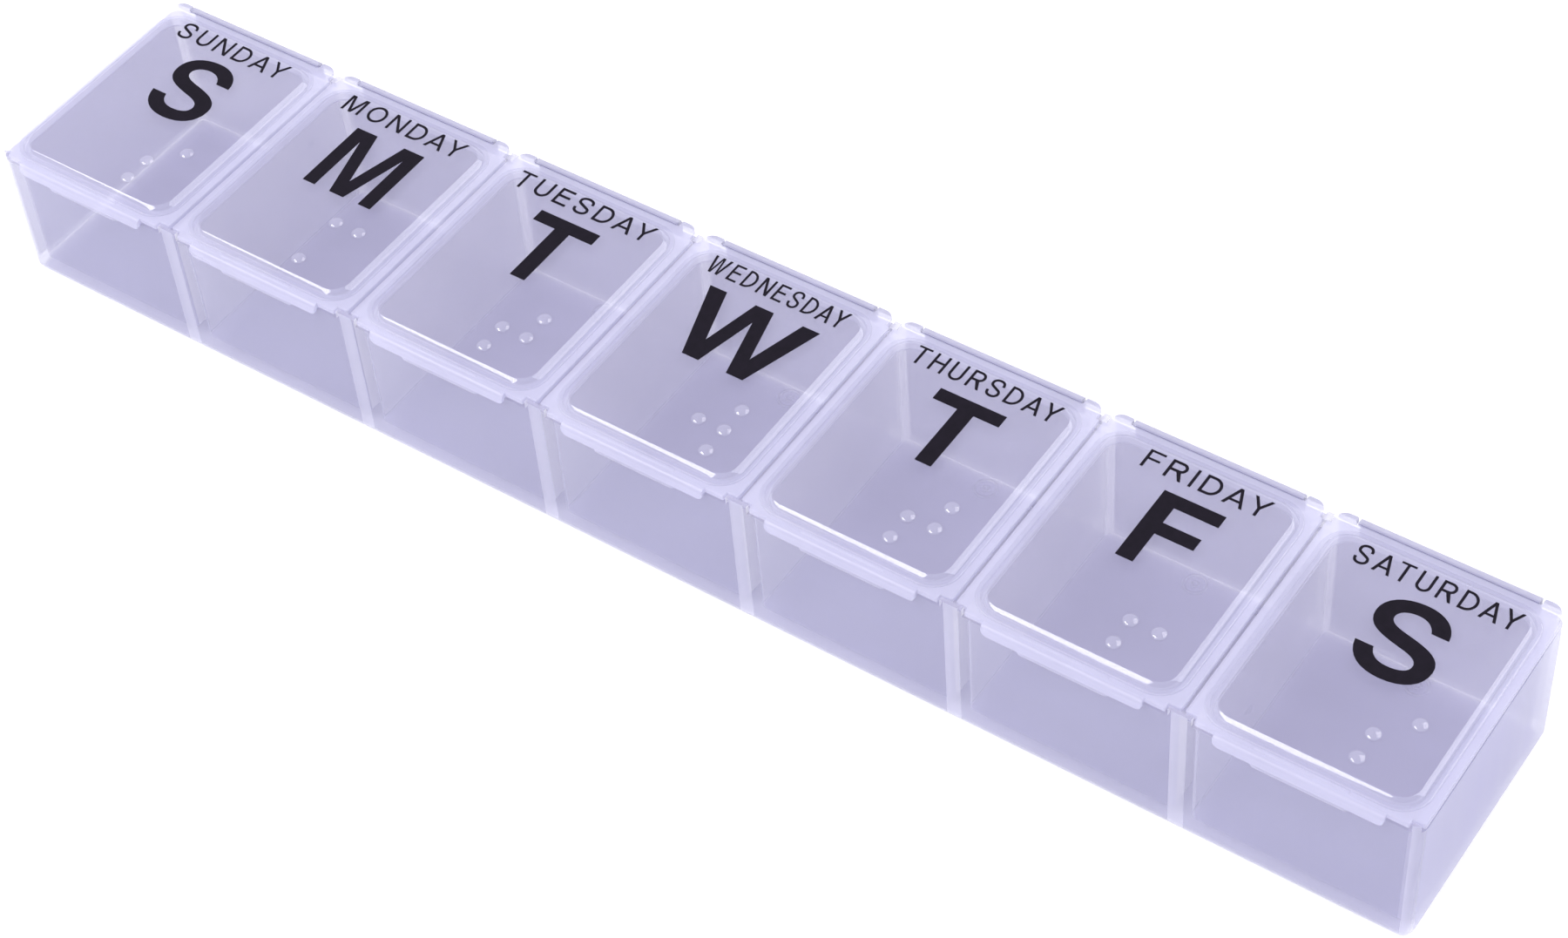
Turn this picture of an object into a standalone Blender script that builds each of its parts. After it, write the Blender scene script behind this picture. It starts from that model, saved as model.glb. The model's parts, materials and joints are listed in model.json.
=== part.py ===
"""Seven-day travel pill organizer: one long tray, seven lids and their living hinges.

Metres, +Z up. X runs along the tray, with Sunday's compartment at -X and Saturday's at +X.
The lids are hinged along the back edge (+Y) and snap shut at the front (-Y). The origin is
the centre of the box's footprint, at the level of the underside.
"""

import math

import bmesh
import bpy

MM = 0.001

# Driving dimensions
DAYS = ("sunday", "monday", "tuesday", "wednesday", "thursday", "friday", "saturday")
PITCH = 20.0 * MM            # from one compartment's centre to the next
LID_GAP = 0.3 * MM           # between neighbouring lids
DEPTH = 23.5 * MM            # of the tray, front face to back face
RIM_Z = 13.5 * MM            # top of the tray's outer walls
FLOOR = 1.0 * MM             # thickness of the tray's floor
WALL = 0.9 * MM              # thickness of the outer walls
DIVIDER = 1.4 * MM           # thickness of the walls between compartments
DIVIDER_DROP = 0.5 * MM      # dividers stop this far below the rim
RIB = 0.5 * MM               # small rib left at full height on each divider
RIB_Y = 0.7 * MM             # a little behind the divider's middle
TRAY_CORNER = 1.0 * MM       # radius of the tray's upright corners
TRAY_FOOT = 0.8 * MM         # radius along the underside's edge
POCKET_CORNER = 0.5 * MM     # radius in a compartment's corners
PROUD = 0.5 * MM             # how far thumb lips and hinges stand out from the tray

PLATE_LIFT = 0.2 * MM        # air between rim and lid
PLATE = 0.58 * MM            # thickness of a lid's flat border
RING_RISE = 0.12 * MM        # low step around the raised panel
RING_WIDTH = 0.45 * MM
PANEL_RISE = 0.47 * MM       # raised panel above the flat border
PANEL_SKIN = 0.7 * MM        # thickness of the raised panel
PANEL_MARGIN = 1.1 * MM      # lid edge to the panel's foot, at the sides
PANEL_FRONT_MARGIN = 0.87 * MM
PANEL_BACK_MARGIN = 1.15 * MM
PANEL_BEVEL = 0.5 * MM       # width of the rounded bevel around the panel
PANEL_CORNER = 2.1 * MM      # radius of the panel's foot
LID_BACK_GAP = 0.25 * MM     # at its hinge a lid stands this far in from the tray's back face
LID_OVERHANG = 0.45 * MM     # either side of it, the lid's back corners reach past that face
LID_BACK_CORNER = 1.0 * MM

POST_WIDTH = 2.0 * MM        # front posts between the lids, and half ones at the ends
POST_DEPTH = 0.35 * MM
BACK_POST_WIDTH = 0.6 * MM   # lower, slimmer posts between the lids at the back
BACK_POST_DEPTH = 0.9 * MM
BACK_POST_RISE = 0.43 * MM   # above the rim
CLEARANCE = 0.2 * MM         # between pieces that move past each other

LIP_WIDTH = 14.0 * MM        # thumb lip on a lid's front edge
LIP_DROP = 0.4 * MM          # lip's lower edge below the rim
LIP_CORNER = 0.55 * MM       # radius of its lower corners
LIP_ROUND = 0.45 * MM        # height of the rounding along its upper edge
LIP_EDGE = 0.06 * MM         # chamfer along its lower edge
LATCH_WIDTH = 8.0 * MM       # snap bead on the tray below each lip
LATCH_HEIGHT = 0.5 * MM
LATCH_PROUD = 0.3 * MM
LATCH_EASE = 0.3 * MM        # length over which the bead thins out at each end
LATCH_CAP = 75               # degrees of that quarter turn; the bead is cut flat beyond

WEB_WIDTH = 15.2 * MM        # living hinge
WEB = 0.3 * MM               # its thickness
WEB_DROP = 1.1 * MM          # how far it reaches down the tray's back face
WEB_RISE = 0.64 * MM         # its top above the underside of the lid
WEB_BEND = 0.36 * MM         # outer radius where it turns over towards the lid

DOT_PITCH = 2.5 * MM         # braille cell
DOT_RADIUS = 0.67 * MM
DOT_RISE = 0.33 * MM
DOT_CAP = 80                 # degrees of the dome's quarter turn; it is cut flat above that
CELL_X = 2.6 * MM            # left column of the cell, right of the lid's middle
CELL_ROW_3 = 3.0 * MM        # lowest row, in from the tray's front face
SHIFTED_CELL = 0.4 * MM      # both S cells sit a little further right
BRAILLE = {
    "sunday": (2, 3, 4),
    "monday": (1, 3, 4),
    "tuesday": (2, 3, 4, 5),
    "wednesday": (2, 4, 5, 6),
    "thursday": (2, 3, 4, 5),
    "friday": (2, 3, 5),
    "saturday": (2, 3, 4),
}

TRAY_COLOUR = (0.45, 0.44, 0.62)
LID_COLOUR = (0.48, 0.46, 0.63)
HINGE_COLOUR = (0.42, 0.41, 0.58)
TRAY_ROUGHNESS = 0.32
LID_ROUGHNESS = 0.18
HINGE_ROUGHNESS = 0.28

# Fineness of the mesh, and how shapes are joined
CORNER_STEPS = 5             # facets in a quarter turn
BEVEL_STEPS = 4
SMALL_STEPS = 3
DOT_STEPS = 4
DOT_SIDES = 12
SMOOTH_LIMIT = 35            # degrees; steeper edges stay sharp
SINK = 0.3 * MM              # how deep a joined shape is buried in its neighbour
NUDGE = 0.02 * MM            # keeps the faces of joined shapes out of each other's planes
SIDE_CUT = 0.1 * MM          # notches reach this far past a divider's faces

# Worked out from the driving dimensions
LENGTH = len(DAYS) * PITCH - LID_GAP
FRONT_Y = -DEPTH / 2
BACK_Y = DEPTH / 2
DIVIDER_Z = RIM_Z - DIVIDER_DROP
PLATE_BOTTOM = RIM_Z + PLATE_LIFT
PLATE_TOP = PLATE_BOTTOM + PLATE
RING_TOP = PLATE_TOP + RING_RISE
PANEL_TOP = PLATE_TOP + PANEL_RISE
LID_HALF = (PITCH - LID_GAP) / 2
LID_BACK_Y = BACK_Y - LID_BACK_GAP
LID_CORNER_Y = BACK_Y + LID_OVERHANG
HINGE_Y = BACK_Y + PROUD / 2
HINGE_Z = RIM_Z


def clear_scene():
    for obj in list(bpy.data.objects):
        bpy.data.objects.remove(obj, do_unlink=True)


def plastic(name, colour, roughness):
    """A Principled material for one kind of sub-part."""
    material = bpy.data.materials.new(name)
    material.use_nodes = True
    shader = material.node_tree.nodes["Principled BSDF"]
    shader.inputs["Base Color"].default_value = (*colour, 1.0)
    shader.inputs["Roughness"].default_value = roughness
    shader.inputs["Metallic"].default_value = 0.0
    return material


def quarter_turn(steps, start=0, sweep=90):
    """Angles in radians from start, evenly spaced over the sweep, both ends included."""
    return [math.radians(start + sweep * step / steps) for step in range(steps + 1)]


def rounded_rectangle(x0, x1, y0, y1, radius, steps=CORNER_STEPS):
    """Counter-clockwise outline of a rectangle with round corners."""
    points = []
    corners = (
        (x1 - radius, y0 + radius, -90),
        (x1 - radius, y1 - radius, 0),
        (x0 + radius, y1 - radius, 90),
        (x0 + radius, y0 + radius, 180),
    )
    for centre_x, centre_y, start in corners:
        for angle in quarter_turn(steps, start):
            points.append((centre_x + radius * math.cos(angle), centre_y + radius * math.sin(angle)))
    return points


def at_height(outline, z):
    return [(x, y, z) for x, y in outline]


def along_x(profile, x):
    return [(x, y, z) for y, z in profile]


def add_loft(bm, loops):
    """Join loops of equal length into one closed shape with flat ends."""
    rings = [[bm.verts.new(point) for point in loop] for loop in loops]
    count = len(rings[0])
    for lower, upper in zip(rings, rings[1:]):
        for index in range(count):
            after = (index + 1) % count
            bm.faces.new((lower[index], lower[after], upper[after], upper[index]))
    bm.faces.new(list(reversed(rings[0])))
    bm.faces.new(rings[-1])


def add_box(bm, x0, x1, y0, y1, z0, z1):
    outline = ((x0, y0), (x1, y0), (x1, y1), (x0, y1))
    add_loft(bm, [at_height(outline, z0), at_height(outline, z1)])


def make_object(name, bm, material=None, origin=(0.0, 0.0, 0.0)):
    """Turn a bmesh drawn in world coordinates into an object with its origin at a given point."""
    bmesh.ops.recalc_face_normals(bm, faces=bm.faces)
    bmesh.ops.translate(bm, verts=bm.verts, vec=[-value for value in origin])
    mesh = bpy.data.meshes.new(name)
    bm.to_mesh(mesh)
    bm.free()
    obj = bpy.data.objects.new(name, mesh)
    bpy.context.scene.collection.objects.link(obj)
    obj.location = origin
    if material:
        mesh.materials.append(material)
        mesh.shade_smooth()
        mesh.set_sharp_from_angle(angle=math.radians(SMOOTH_LIMIT))
    return obj


def shape_with(obj, name, bm, operation):
    """Join a helper shape to an object, or cut the object with it."""
    tool = make_object(name, bm, origin=obj.location)
    tool.hide_render = True
    tool.display_type = "WIRE"
    modifier = obj.modifiers.new(name, "BOOLEAN")
    modifier.operation = operation
    modifier.solver = "EXACT"
    modifier.object = tool


def compartment_x(index):
    """Middle of a compartment along the tray."""
    return (index - (len(DAYS) - 1) / 2) * PITCH


def divider_positions():
    return [compartment_x(index) + PITCH / 2 for index in range(len(DAYS) - 1)]


def pocket_edges(index):
    """Inner faces of a compartment along X: dividers, or an end wall at either end."""
    middle = compartment_x(index)
    left = middle - PITCH / 2 + DIVIDER / 2
    right = middle + PITCH / 2 - DIVIDER / 2
    if index == 0:
        left = -LENGTH / 2 + WALL
    if index == len(DAYS) - 1:
        right = LENGTH / 2 - WALL
    return left, right


def tray_block():
    """Outer block, as high as the front posts, with a rounded foot and upright corners."""
    bm = bmesh.new()
    levels = []
    for angle in quarter_turn(SMALL_STEPS):
        levels.append((TRAY_FOOT * (1 - math.sin(angle)), TRAY_FOOT * (1 - math.cos(angle))))
    levels.append((0.0, PLATE_TOP))
    loops = []
    for inset, z in levels:
        outline = rounded_rectangle(
            -LENGTH / 2 + inset,
            LENGTH / 2 - inset,
            FRONT_Y + inset,
            BACK_Y - inset,
            TRAY_CORNER - inset,
        )
        loops.append(at_height(outline, z))
    add_loft(bm, loops)
    return bm


def lid_seats():
    """All that lies above the rim, apart from the posts between the lids, as one slab."""
    bm = bmesh.new()
    end = LENGTH / 2 + SINK
    back = BACK_Y + SINK
    post_back = FRONT_Y + POST_DEPTH
    post_front = BACK_Y - BACK_POST_DEPTH
    half = (PITCH - POST_WIDTH) / 2
    back_half = (PITCH - BACK_POST_WIDTH) / 2
    front_side = []
    back_side = []
    for index in range(len(DAYS)):
        x = compartment_x(index)
        front_side += [
            (x - half, post_back),
            (x - half, FRONT_Y - SINK),
            (x + half, FRONT_Y - SINK),
            (x + half, post_back),
        ]
        if index > 0:
            back_side += [(x - back_half, post_front), (x - back_half, back)]
        if index < len(DAYS) - 1:
            back_side += [(x + back_half, back), (x + back_half, post_front)]
    outline = [(-end, post_back)] + front_side + [(end, post_back), (end, back)]
    outline += list(reversed(back_side)) + [(-end, back)]
    add_loft(bm, [at_height(outline, RIM_Z), at_height(outline, PLATE_TOP + SINK)])
    return bm


def above_back_posts():
    """The space over the back posts, which end lower than the front ones."""
    bm = bmesh.new()
    end = LENGTH / 2 + SINK
    add_box(bm, -end, end, 0.0, BACK_Y + SINK, RIM_Z + BACK_POST_RISE, PLATE_TOP + SINK)
    return bm


def pockets():
    """The compartments."""
    bm = bmesh.new()
    for index in range(len(DAYS)):
        left, right = pocket_edges(index)
        outline = rounded_rectangle(
            left, right, FRONT_Y + WALL, BACK_Y - WALL, POCKET_CORNER, SMALL_STEPS
        )
        add_loft(bm, [at_height(outline, FLOOR), at_height(outline, RIM_Z + SINK)])
    return bm


def divider_notches():
    """Shallow cuts over each divider, with a small rib left standing near its middle."""
    bm = bmesh.new()
    over = DIVIDER / 2 + SIDE_CUT
    front = FRONT_Y + WALL + POCKET_CORNER
    back = BACK_Y - WALL - POCKET_CORNER
    for x in divider_positions():
        add_box(bm, x - over, x + over, front, RIB_Y - RIB / 2, DIVIDER_Z, RIM_Z + SINK)
        add_box(bm, x - over, x + over, RIB_Y + RIB / 2, back, DIVIDER_Z, RIM_Z + SINK)
    return bm


def latches():
    """A half-round snap bead on the front face below each lid's thumb lip."""
    bm = bmesh.new()
    middle = RIM_Z - LIP_DROP - CLEARANCE - LATCH_HEIGHT / 2
    right_end = []
    for angle in quarter_turn(SMALL_STEPS, 0, LATCH_CAP):
        right_end.append((LATCH_WIDTH / 2 - LATCH_EASE * (1 - math.sin(angle)), math.cos(angle)))
    stations = [(-along, size) for along, size in reversed(right_end)] + right_end
    for index in range(len(DAYS)):
        loops = []
        for along, size in stations:
            profile = [(FRONT_Y + SINK, middle - LATCH_HEIGHT / 2 * size)]
            for angle in quarter_turn(BEVEL_STEPS, -90, 180):
                profile.append((
                    FRONT_Y - LATCH_PROUD * size * math.cos(angle),
                    middle + LATCH_HEIGHT / 2 * size * math.sin(angle),
                ))
            profile.append((FRONT_Y + SINK, middle + LATCH_HEIGHT / 2 * size))
            loops.append(along_x(profile, compartment_x(index) + along))
        add_loft(bm, loops)
    return bm


def make_tray(material):
    tray = make_object("tray", tray_block(), material)
    shape_with(tray, "tray_lid_seats", lid_seats(), "DIFFERENCE")
    shape_with(tray, "tray_above_back_posts", above_back_posts(), "DIFFERENCE")
    shape_with(tray, "tray_pockets", pockets(), "DIFFERENCE")
    shape_with(tray, "tray_divider_notches", divider_notches(), "DIFFERENCE")
    shape_with(tray, "tray_latches", latches(), "UNION")


def lid_outline(x):
    """Flat border of a lid, cut out around the posts and the hinge, with round back corners."""
    left = x - LID_HALF
    right = x + LID_HALF
    cut_x = POST_WIDTH / 2 - LID_GAP / 2 + CLEARANCE
    cut_y = FRONT_Y + POST_DEPTH + CLEARANCE
    back_cut_x = BACK_POST_WIDTH / 2 - LID_GAP / 2 + CLEARANCE
    back_cut_y = BACK_Y - BACK_POST_DEPTH - CLEARANCE
    hinge_half = WEB_WIDTH / 2 + CLEARANCE
    radius = LID_BACK_CORNER
    outline = [
        (left + cut_x, FRONT_Y),
        (right - cut_x, FRONT_Y),
        (right - cut_x, cut_y),
        (right, cut_y),
        (right, back_cut_y),
        (right - back_cut_x, back_cut_y),
    ]
    for angle in quarter_turn(CORNER_STEPS):
        centre_x = right - back_cut_x - radius
        y = LID_CORNER_Y - radius + radius * math.sin(angle)
        outline.append((centre_x + radius * math.cos(angle), y))
    outline += [
        (x + hinge_half, LID_CORNER_Y),
        (x + hinge_half, LID_BACK_Y),
        (x - hinge_half, LID_BACK_Y),
        (x - hinge_half, LID_CORNER_Y),
    ]
    for angle in quarter_turn(CORNER_STEPS, 90):
        centre_x = left + back_cut_x + radius
        y = LID_CORNER_Y - radius + radius * math.sin(angle)
        outline.append((centre_x + radius * math.cos(angle), y))
    outline += [
        (left + back_cut_x, back_cut_y),
        (left, back_cut_y),
        (left, cut_y),
        (left + cut_x, cut_y),
    ]
    return outline


def panel_loop(x, inset, z):
    """One level of the raised panel, inset from its foot."""
    outline = rounded_rectangle(
        x - LID_HALF + PANEL_MARGIN + inset,
        x + LID_HALF - PANEL_MARGIN - inset,
        FRONT_Y + PANEL_FRONT_MARGIN + inset,
        LID_BACK_Y - PANEL_BACK_MARGIN - inset,
        PANEL_CORNER - inset,
    )
    return at_height(outline, z)


def raised_panel(x):
    """Low step, then a rounded bevel up to the flat top."""
    bm = bmesh.new()
    loops = [
        panel_loop(x, -RING_WIDTH, PLATE_TOP - SINK),
        panel_loop(x, -RING_WIDTH, PLATE_TOP + RING_RISE / 2),
        panel_loop(x, -RING_WIDTH + RING_RISE / 2, RING_TOP),
    ]
    for angle in quarter_turn(BEVEL_STEPS):
        inset = PANEL_BEVEL * (1 - math.cos(angle))
        loops.append(panel_loop(x, inset, RING_TOP + (PANEL_TOP - RING_TOP) * math.sin(angle)))
    add_loft(bm, loops)
    return bm


def panel_recess(x):
    """Hollow under the raised panel, so that it keeps an even thickness."""
    bm = bmesh.new()
    loops = [
        panel_loop(x, PANEL_BEVEL / 2, PLATE_BOTTOM - SINK),
        panel_loop(x, PANEL_BEVEL / 2, PLATE_BOTTOM),
        panel_loop(x, PANEL_BEVEL, PANEL_TOP - PANEL_SKIN),
    ]
    add_loft(bm, loops)
    return bm


def thumb_lip(x):
    """Lip along the front edge that hangs past the rim, with round lower corners."""
    bm = bmesh.new()
    outer = FRONT_Y - PROUD
    inner = FRONT_Y - CLEARANCE
    lowest = RIM_Z - LIP_DROP
    shoulder = PLATE_TOP - NUDGE
    right_end = []
    for angle in reversed(quarter_turn(SMALL_STEPS)):
        along = LIP_WIDTH / 2 - LIP_CORNER * (1 - math.cos(angle))
        right_end.append((along, lowest + LIP_CORNER * (1 - math.sin(angle))))
    stations = [(-along, bottom) for along, bottom in reversed(right_end)] + right_end
    loops = []
    for along, bottom in stations:
        profile = [
            (inner, bottom),
            (inner, PLATE_BOTTOM + NUDGE),
            (FRONT_Y + SINK, PLATE_BOTTOM + NUDGE),
            (FRONT_Y + SINK, shoulder),
        ]
        for angle in reversed(quarter_turn(SMALL_STEPS)):
            y = FRONT_Y - PROUD * math.cos(angle)
            profile.append((y, shoulder - LIP_ROUND * (1 - math.sin(angle))))
        profile += [(outer, bottom + LIP_EDGE), (outer + LIP_EDGE, bottom)]
        loops.append(along_x(profile, x + along))
    add_loft(bm, loops)
    return bm


def braille_dots(x, day):
    """Low domes of the day's cell, near the front of the raised panel."""
    bm = bmesh.new()
    cell_x = x + CELL_X + (SHIFTED_CELL if day.startswith("s") else 0.0)
    levels = [(DOT_RADIUS, PANEL_TOP - SINK)]
    for angle in quarter_turn(DOT_STEPS, 0, DOT_CAP):
        levels.append((DOT_RADIUS * math.cos(angle), PANEL_TOP + DOT_RISE * math.sin(angle)))
    for dot in BRAILLE[day]:
        centre_x = cell_x + (dot - 1) // 3 * DOT_PITCH
        centre_y = FRONT_Y + CELL_ROW_3 + (2 - (dot - 1) % 3) * DOT_PITCH
        loops = []
        for radius, z in levels:
            ring = []
            for side in range(DOT_SIDES):
                angle = math.tau * side / DOT_SIDES
                ring.append((centre_x + radius * math.cos(angle), centre_y + radius * math.sin(angle), z))
            loops.append(ring)
        add_loft(bm, loops)
    return bm


def make_lid(index, day, material):
    x = compartment_x(index)
    outline = lid_outline(x)
    bm = bmesh.new()
    add_loft(bm, [at_height(outline, PLATE_BOTTOM), at_height(outline, PLATE_TOP)])
    lid = make_object(f"lid_{day}", bm, material, (x, HINGE_Y, HINGE_Z))
    shape_with(lid, f"lid_{day}_panel", raised_panel(x), "UNION")
    shape_with(lid, f"lid_{day}_lip", thumb_lip(x), "UNION")
    shape_with(lid, f"lid_{day}_recess", panel_recess(x), "DIFFERENCE")
    shape_with(lid, f"lid_{day}_dots", braille_dots(x, day), "UNION")


def make_hinge(index, day, material):
    """Thin web from the tray's back face up and over to the lid's back edge."""
    x = compartment_x(index)
    outer = BACK_Y + PROUD
    inner = outer - WEB
    top = PLATE_BOTTOM + WEB_RISE
    tip = LID_BACK_Y + CLEARANCE
    bend_y = outer - WEB_BEND
    bend_z = top - WEB_BEND
    inner_bend = WEB_BEND - WEB
    profile = [(inner, RIM_Z - WEB_DROP), (outer, RIM_Z - WEB_DROP)]
    for angle in quarter_turn(SMALL_STEPS):
        profile.append((bend_y + WEB_BEND * math.cos(angle), bend_z + WEB_BEND * math.sin(angle)))
    profile += [(tip, top), (tip, top - WEB)]
    for angle in reversed(quarter_turn(SMALL_STEPS)):
        profile.append((bend_y + inner_bend * math.cos(angle), bend_z + inner_bend * math.sin(angle)))
    bm = bmesh.new()
    half = WEB_WIDTH / 2
    add_loft(bm, [along_x(profile, x - half), along_x(profile, x + half)])
    make_object(f"hinge_{day}", bm, material, (x, HINGE_Y, HINGE_Z))


def main():
    clear_scene()
    tray_plastic = plastic("tray_polypropylene", TRAY_COLOUR, TRAY_ROUGHNESS)
    lid_plastic = plastic("lid_polypropylene", LID_COLOUR, LID_ROUGHNESS)
    hinge_plastic = plastic("hinge_polypropylene", HINGE_COLOUR, HINGE_ROUGHNESS)
    make_tray(tray_plastic)
    for index, day in enumerate(DAYS):
        make_lid(index, day, lid_plastic)
        make_hinge(index, day, hinge_plastic)


main()
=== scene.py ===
"""Looks for a seven-day travel pill organizer: fine translucent mouldings around the frame.

Metres, +Z up, in the frame's own axes: X along the tray, the lids hinged at +Y. Every CAD
node is replaced here by a finer moulding of the same size in frosted polypropylene, and the
day's printed name and initial lie on each lid.
"""

import json
import math

import bmesh
import bpy
from mathutils import Matrix, Vector

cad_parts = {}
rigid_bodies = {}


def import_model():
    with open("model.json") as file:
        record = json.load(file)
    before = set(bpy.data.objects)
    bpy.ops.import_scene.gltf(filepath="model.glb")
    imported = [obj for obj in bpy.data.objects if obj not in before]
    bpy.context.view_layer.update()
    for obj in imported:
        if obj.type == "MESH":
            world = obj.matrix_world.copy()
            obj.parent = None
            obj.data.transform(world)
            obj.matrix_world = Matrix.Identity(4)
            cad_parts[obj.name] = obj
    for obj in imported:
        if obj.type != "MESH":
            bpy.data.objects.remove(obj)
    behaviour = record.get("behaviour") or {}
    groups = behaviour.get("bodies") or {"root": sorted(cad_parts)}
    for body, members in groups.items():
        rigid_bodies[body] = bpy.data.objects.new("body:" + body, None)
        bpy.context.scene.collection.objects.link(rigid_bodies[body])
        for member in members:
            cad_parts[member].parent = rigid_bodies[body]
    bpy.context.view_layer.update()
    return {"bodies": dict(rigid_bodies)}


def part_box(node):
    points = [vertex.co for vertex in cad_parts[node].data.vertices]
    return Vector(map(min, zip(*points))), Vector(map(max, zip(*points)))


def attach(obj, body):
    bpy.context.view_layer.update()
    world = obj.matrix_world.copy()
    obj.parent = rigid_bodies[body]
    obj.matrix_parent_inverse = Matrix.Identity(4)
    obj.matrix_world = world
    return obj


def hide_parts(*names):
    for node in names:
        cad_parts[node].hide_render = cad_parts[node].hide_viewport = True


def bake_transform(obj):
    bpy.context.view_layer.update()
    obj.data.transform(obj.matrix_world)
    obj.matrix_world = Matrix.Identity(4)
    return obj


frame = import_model()

MM = 0.001
DAYS = [body[len("lid_"):] for body in frame["bodies"] if body.startswith("lid_")]

# Places read from the frame
TRAY_LOW, TRAY_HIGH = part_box("tray")
LID_LOW, LID_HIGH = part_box("lid_" + DAYS[0])
HINGE_LOW, HINGE_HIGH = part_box("hinge_" + DAYS[0])
CENTRES = [(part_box("lid_" + day)[0].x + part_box("lid_" + day)[1].x) / 2 for day in DAYS]
PITCH = CENTRES[1] - CENTRES[0]
HALF_LENGTH = TRAY_HIGH.x
BACK_Y = TRAY_HIGH.y
FRONT_Y = -BACK_Y
LID_HALF = (LID_HIGH.x - LID_LOW.x) / 2
LID_CORNER_Y = LID_HIGH.y            # back corners, which overhang the tray
PLATE_TOP = TRAY_HIGH.z              # also the top of the tray's front posts
LIP_BOTTOM = LID_LOW.z
PROUD = HINGE_HIGH.y - BACK_Y        # how far lips and hinges stand out from the tray

# Sizes within the mouldings
FLOOR = 1.0 * MM
WALL = 0.9 * MM
DIVIDER = 1.4 * MM
RIM_Z = PLATE_TOP - 0.78 * MM
DIVIDER_DROP = 0.5 * MM
RIB = 0.5 * MM
RIB_Y = 0.7 * MM
TRAY_CORNER = 1.0 * MM
TRAY_FOOT = 0.8 * MM
POCKET_CORNER = 0.5 * MM
POCKET_FILLET = 0.14 * MM
POST_WIDTH = 2.0 * MM
POST_DEPTH = 0.35 * MM
CLEARANCE = 0.2 * MM
MARK_RADIUS = 1.08 * MM              # round mould mark on each compartment's floor
MARK_CENTRE = 0.38 * MM              # radius of a smaller ring inside it
MARK_WIDTH = 0.24 * MM
MARK_RISE = 0.16 * MM
MARK_SHOULDER = 0.6                  # of its rise, where the ring's sides start to lean in
MARK_EASE = 0.3                      # of its width, over which they lean
MARK_BACK = 2.2 * MM                 # from the tray's back face
MARK_LEFT = 0.4 * MM                 # of the compartment's middle

BACK_POST_WIDTH = 0.6 * MM
BACK_POST_DEPTH = 0.9 * MM
BACK_POST_RISE = 0.43 * MM

PLATE = 0.58 * MM
PLATE_EDGE = 0.13 * MM
LID_BACK_GAP = 0.25 * MM
LID_BACK_CORNER = 1.0 * MM
NOTCH_CORNER = 0.16 * MM
RING_RISE = 0.12 * MM
RING_WIDTH = 0.45 * MM
PANEL_RISE = 0.47 * MM
PANEL_SKIN = 0.7 * MM
PANEL_MARGIN = 1.1 * MM
PANEL_FRONT_MARGIN = 0.87 * MM
PANEL_BACK_MARGIN = 1.15 * MM
PANEL_BEVEL = 0.5 * MM
PANEL_CORNER = 2.1 * MM
BEVEL_EASE = 0.15 * MM               # radius between the bevel and the flat top
GROOVE = 0.05 * MM                   # fine line moulded round the foot of the bevel
PAD_WIDTH = 7.8 * MM                 # low thumb pad above the lip
PAD_RISE = 0.05 * MM

LIP_WIDTH = 14.0 * MM
LIP_CORNER = 0.55 * MM
LIP_ROUND = 0.45 * MM
LIP_EDGE = 0.08 * MM
LATCH_WIDTH = 8.0 * MM
LATCH_HEIGHT = 0.5 * MM
LATCH_PROUD = 0.3 * MM
LATCH_EASE = 0.3 * MM
LATCH_CAP = 75                       # degrees of that quarter turn; cut flat beyond

WEB_WIDTH = HINGE_HIGH.x - HINGE_LOW.x
WEB = 0.3 * MM
WEB_BEND = 0.36 * MM

DOT_PITCH = 2.5 * MM
DOT_RADIUS = 0.67 * MM
DOT_RISE = 0.32 * MM
DOT_CAP = 85                         # degrees of a dome's quarter turn; flat above
CELL_X = 2.6 * MM                    # left column of a cell, from its lid's middle
CELL_ROW_3 = 3.0 * MM                # its nearest row, from the tray's front face
SHIFTED_CELL = 0.4 * MM              # how much further right it is on the two end lids
BRAILLE = {
    "sunday": (2, 3, 4),
    "monday": (1, 3, 4),
    "tuesday": (2, 3, 4, 5),
    "wednesday": (2, 4, 5, 6),
    "thursday": (2, 3, 4, 5),
    "friday": (2, 3, 5),
    "saturday": (2, 3, 4),
}

# Print. Base lines are measured from the tray's front face; strokes and gaps are in cap heights.
NAME_CAP = 1.95 * MM
NAME_BASE = 19.65 * MM
NAME_STROKE = 0.13
LETTER_GAP = 0.325
SHORT_NAME_LETTERS = 7               # longer names are squeezed
LONG_NAME = 13.7 * MM                # to this length
INITIAL_CAP = 7.6 * MM
INITIAL_BASE = 10.8 * MM
INITIAL_ASIDE = 0.25 * MM            # right of its name's middle
INK = 0.02 * MM
PRINT_SHIFT = {                      # how far a lid's print is out of register: right, back
    "tuesday": (-0.2 * MM, 0.0),
    "wednesday": (-0.1 * MM, 0.0),
    "thursday": (0.3 * MM, 0.0),
    "friday": (0.7 * MM, -0.2 * MM),
    "saturday": (0.6 * MM, -0.3 * MM),
}

ARC = 8                              # facets in a quarter turn
FINE_ARC = 4
DOT_SIDES = 24
SINK = 0.3 * MM
NUDGE = 0.02 * MM
LID_BACK_Y = BACK_Y - LID_BACK_GAP   # at the hinge, between the back corners
PLATE_BOTTOM = PLATE_TOP - PLATE
RING_TOP = PLATE_TOP + RING_RISE
PANEL_TOP = PLATE_TOP + PANEL_RISE


# ---------------------------------------------------------------- shapes

def quarter_turn(steps, start=0, sweep=90):
    """Angles in radians from start, evenly spaced over the sweep, both ends included."""
    return [math.radians(start + sweep * step / steps) for step in range(steps + 1)]


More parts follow.
